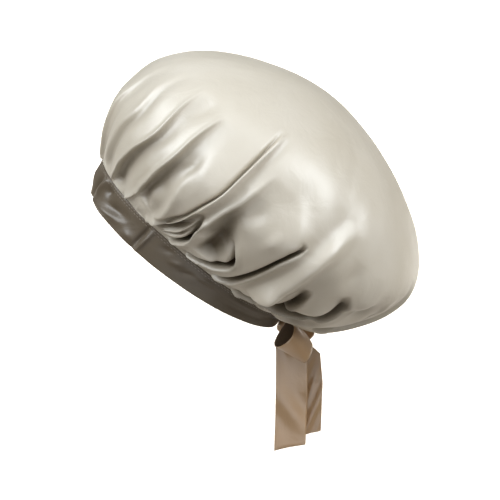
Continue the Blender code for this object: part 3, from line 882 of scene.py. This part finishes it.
def make_tail(name, side, length, rows, material):
    """A tail that hangs from the knot, its face to the side and its lower end cut at a slant. Shade
    is painted on it under the knot, and a little all down the right one, which hangs behind."""
    root = knot_lowest() + np.array((side * (RIBBON_WALL + SEAT_GAP) / 2, 0.0, -SEAT_GAP))
    table = dict(zip(TAIL_ROW_NAMES, zip(*rows)))
    corners, painted_shades = [], []
    for row in range(TAIL_STEPS + 1):
        share = row / TAIL_STEPS
        # Painted shade, strong under the knot and fading down, and a little more all down the right
        # tail, which hangs behind
        painted_shades.append(0.55 * math.exp(-share / 0.12) + (0.16 if side < 0 else 0.0))
        back, left, width = (
            np.interp(share, table["along"], table[key]) for key in ("back", "left", "width")
        )
        pinch = math.exp(-share / 0.10)
        for column in range(TAIL_COLUMNS):
            place = 2 * column / (TAIL_COLUMNS - 1) - 1
            slant = TAIL_END_SLANT * RIBBON_WIDTH * place * np.clip(share * 4 - 3, 0, 1) / 2
            lean = 10.0 * share - 2.6 * place * side
            wave = 1.1 * math.sin(lean + side) + 0.5 * math.sin(2.1 * lean + 3.0 * place)
            wave = wave * min(share * 3, 1)
            wave += 1.3 * pinch * math.cos(place * 7.0)
            hem = 0.12 if 0.86 < abs(place) < 0.95 or 0.955 < share < 0.985 else 0.0
            corners.append(
                root
                + np.array((
                    left * RIBBON_WIDTH + MM * (wave + side * hem),
                    back * RIBBON_WIDTH + width * place * RIBBON_WIDTH / 2,
                    slant - share * length,
                ))
            )
    strip = make_piece(name, corners, grid_faces(TAIL_STEPS + 1, TAIL_COLUMNS), material)
    set_painted_shade(strip, np.repeat(painted_shades, TAIL_COLUMNS))
    give_thickness(strip)
    return strip


def new_node(tree, kind, values=None):
    """A shader node of this kind with values set on its inputs."""
    node = tree.nodes.new("ShaderNode" + kind)
    for name, value in (values or {}).items():
        node.inputs[name].default_value = value
    return node


def satin_colour(tree, slow, painted_shade_mask, colour, shade):
    """Two close tones that change slowly over the cloth, and a dark one for painted shade, deep in the
    folds and under the knot.
    """
    tone = new_node(tree, "ValToRGB")
    tone.color_ramp.elements[0].position = 0.30
    tone.color_ramp.elements[0].color = (*shade, 1.0)
    tone.color_ramp.elements[1].position = 0.70
    tone.color_ramp.elements[1].color = (*colour, 1.0)
    tree.links.new(slow, tone.inputs["Fac"])
    # Painted shade: the tone is mixed towards a dark one as far as the piece's shade attribute says
    mix = tree.nodes.new("ShaderNodeMix")
    mix.data_type = "RGBA"
    mix.inputs["B"].default_value = (*np.multiply(PAINTED_SHADE_TONE, shade), 1.0)
    tree.links.new(painted_shade_mask, mix.inputs["Factor"])
    tree.links.new(tone.outputs["Color"], mix.inputs["A"])
    return mix.outputs["Result"]


def satin_normal(tree, place):
    """Soft crinkles under a fine bump of cross threads."""
    crinkle = new_node(tree, "TexNoise", {"Scale": 48.0, "Detail": 4.0, "Distortion": 0.6})
    tree.links.new(place, crinkle.inputs["Vector"])
    crumple = new_node(tree, "Bump", {"Strength": 0.34, "Distance": 0.0024})
    tree.links.new(crinkle.outputs["Fac"], crumple.inputs["Height"])
    stretch = new_node(tree, "Mapping", {"Scale": (1.0, 1.0, 0.16)})
    tree.links.new(place, stretch.inputs["Vector"])
    threads = new_node(tree, "TexNoise", {"Scale": 2400.0, "Detail": 1.0})
    tree.links.new(stretch.outputs["Vector"], threads.inputs["Vector"])
    bump = new_node(tree, "Bump", {"Strength": 0.10, "Distance": 0.0002})
    tree.links.new(threads.outputs["Fac"], bump.inputs["Height"])
    tree.links.new(crumple.outputs["Normal"], bump.inputs["Normal"])
    return bump.outputs["Normal"]


def satin(name, colour, shade, roughness, gloss):
    """Satin in two close tones, with slow changes of roughness, soft crinkles and a fine weave.
    Where a piece carries painted shade, its cloth is darker and duller."""
    material = bpy.data.materials.new(name)
    material.use_nodes = True
    tree = material.node_tree
    shader = tree.nodes["Principled BSDF"]
    shader.inputs["IOR"].default_value = SATIN_IOR
    place = new_node(tree, "TexCoord").outputs["Object"]
    noise = new_node(tree, "TexNoise", {"Scale": 14.0, "Detail": 3.0})
    tree.links.new(place, noise.inputs["Vector"])
    slow = noise.outputs["Fac"]
    # The piece's painted shade, from 0 to 1
    attribute = new_node(tree, "Attribute")
    attribute.attribute_name = "painted_shade"
    painted_shade_mask = attribute.outputs["Fac"]
    tree.links.new(satin_colour(tree, slow, painted_shade_mask, colour, shade), shader.inputs["Base Color"])
    # Painted shade dulls the gloss as well as the tone
    shine = new_node(tree, "MapRange", {"To Min": gloss, "To Max": PAINTED_SHADE_GLOSS * gloss})
    tree.links.new(painted_shade_mask, shine.inputs["Value"])
    tree.links.new(shine.outputs["Result"], shader.inputs["Specular IOR Level"])
    rough = new_node(tree, "MapRange", {"To Min": roughness - 0.06, "To Max": roughness + 0.05})
    tree.links.new(slow, rough.inputs["Value"])
    tree.links.new(rough.outputs["Result"], shader.inputs["Roughness"])
    tree.links.new(satin_normal(tree, place), shader.inputs["Normal"])
    return material


def aim(thing, where, look_at):
    """Puts a camera or lamp at where, looking at look_at, with +Z up in its view."""
    back = unit_rows(np.subtract(where, look_at).astype(float))
    right = unit_rows(np.cross((0.0, 0.0, 1.0), back))
    up = np.cross(back, right)
    thing.matrix_world = Matrix(
        [[right[i], up[i], back[i], where[i]] for i in range(3)] + [[0, 0, 0, 1]]
    )


def make_lamp(name, where, look_at, size, power, spread):
    """A rectangular lamp at where, looking at look_at."""
    light = bpy.data.lights.new(name, "AREA")
    light.shape = "RECTANGLE"
    light.size, light.size_y = size
    light.energy = power
    light.spread = math.radians(spread)
    light.color = LAMP_TINT
    thing = bpy.data.objects.new(name, light)
    bpy.context.scene.collection.objects.link(thing)
    aim(thing, where, look_at)


def make_camera():
    """The camera, at the photo's angle."""
    azimuth, elevation = math.radians(CAMERA_AZIMUTH), math.radians(CAMERA_ELEVATION)
    back = np.array((
        math.sin(azimuth) * math.cos(elevation),
        -math.cos(azimuth) * math.cos(elevation),
        math.sin(elevation),
    ))
    camera = bpy.data.cameras.new("camera")
    camera.lens = CAMERA_LENS
    camera.sensor_width = 36.0
    thing = bpy.data.objects.new("camera", camera)
    bpy.context.scene.collection.objects.link(thing)
    aim(thing, CAMERA_TARGET + CAMERA_DISTANCE * back, CAMERA_TARGET)
    bpy.context.scene.camera = thing


def make_floor():
    """A pale floor well below the bonnet."""
    material = bpy.data.materials.new("floor_pale")
    material.use_nodes = True
    shader = material.node_tree.nodes["Principled BSDF"]
    shader.inputs["Base Color"].default_value = (*FLOOR_COLOUR, 1.0)
    shader.inputs["Roughness"].default_value = 0.9
    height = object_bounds()[0][2] - FLOOR_DROP
    corners = [
        (x * FLOOR_HALF, y * FLOOR_HALF, height) for x, y in ((-1, -1), (1, -1), (1, 1), (-1, 1))
    ]
    floor = make_piece("floor", corners, [(0, 1, 2, 3)], material, smooth=False)


def make_surround():
    """The studio's surrounding light."""
    world = bpy.data.worlds.new("studio")
    world.use_nodes = True
    bpy.context.scene.world = world
    tree = world.node_tree
    ground = tree.nodes["Background"]
    place = new_node(tree, "TexCoord")
    split = tree.nodes.new("ShaderNodeVectorMath")
    split.operation = "DOT_PRODUCT"
    split.inputs[1].default_value = STUDIO_BRIGHT_WAY
    tree.links.new(place.outputs["Generated"], split.inputs[0])
    ramp = new_node(tree, "MapRange", {
        "From Min": -0.35, "From Max": 0.95, "To Min": STUDIO_DIM, "To Max": STUDIO_BRIGHT,
    })
    ramp.interpolation_type = "SMOOTHSTEP"
    tree.links.new(split.outputs["Value"], ramp.inputs["Value"])
    tint = new_node(tree, "ValToRGB")
    tint.color_ramp.elements[0].color = (1.0, 0.86, 0.70, 1.0)
    tint.color_ramp.elements[1].color = (0.93, 0.97, 1.0, 1.0)
    tree.links.new(split.outputs["Value"], tint.inputs["Fac"])
    tree.links.new(tint.outputs["Color"], ground.inputs["Color"])
    tree.links.new(ramp.outputs["Result"], ground.inputs["Strength"])


def make_studio():
    """The floor, the surrounding light, the lamps and a plain view of their colours."""
    make_floor()
    make_surround()
    for lamp in LAMPS:
        make_lamp(*lamp)
    bpy.context.scene.view_settings.view_transform = "Standard"
    bpy.context.scene.view_settings.look = "None"


# The cloths: name, light tone, dark tone, roughness and gloss
crown_satin = satin("crown_satin", (0.64, 0.58, 0.485), (0.57, 0.505, 0.40), 0.46, 0.52)
# The band's tones and gloss are darkened with painted shade, for the shadow of the crown overhanging
# it
band_satin = satin("band_satin", (0.12, 0.088, 0.052), (0.083, 0.060, 0.034), 0.46, 0.30)
ribbon_satin = satin("ribbon_satin", (0.53, 0.325, 0.165), (0.42, 0.255, 0.12), 0.33, 0.6)
# The ribbon's reverse side: duller, as satin's reverse is, and darkened with painted shade for the
# insides of the loops
ribbon_reverse_shaded = satin("ribbon_reverse_shaded", (0.20, 0.14, 0.09), (0.16, 0.11, 0.07), 0.60, 0.2)
thread = satin("thread", (0.24, 0.20, 0.15), (0.20, 0.165, 0.12), 0.6, 0.4)

crown = make_crown(crown_satin)
band = make_band(band_satin)
stitches = make_stitches(thread)
knot = make_knot(ribbon_satin)
loops = {
    "left": make_loop("bow_loop_left_ribbon", 1, ribbon_satin, ribbon_reverse_shaded),
    "right": make_loop("bow_loop_right_ribbon", -1, ribbon_satin, ribbon_reverse_shaded),
}
tails = {
    "left": make_tail("tail_left_ribbon", 1, LEFT_TAIL_LENGTH, LEFT_TAIL_ROWS, ribbon_satin),
    "right": make_tail("tail_right_ribbon", -1, RIGHT_TAIL_LENGTH, RIGHT_TAIL_ROWS, ribbon_satin),
}

for piece, node, slot in (
    (crown, "crown", "crown_satin"),
    (band, "band", "band_satin"),
    (knot, "knot", "ribbon_satin"),
    (loops["left"], "bow_loop_left", "ribbon_satin"),
    (loops["right"], "bow_loop_right", "ribbon_satin"),
    (tails["left"], "tail_left", "ribbon_satin"),
    (tails["right"], "tail_right", "ribbon_satin"),
):
    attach(piece, "root")
    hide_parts(node)
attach(stitches, "root")

make_studio()
make_camera()
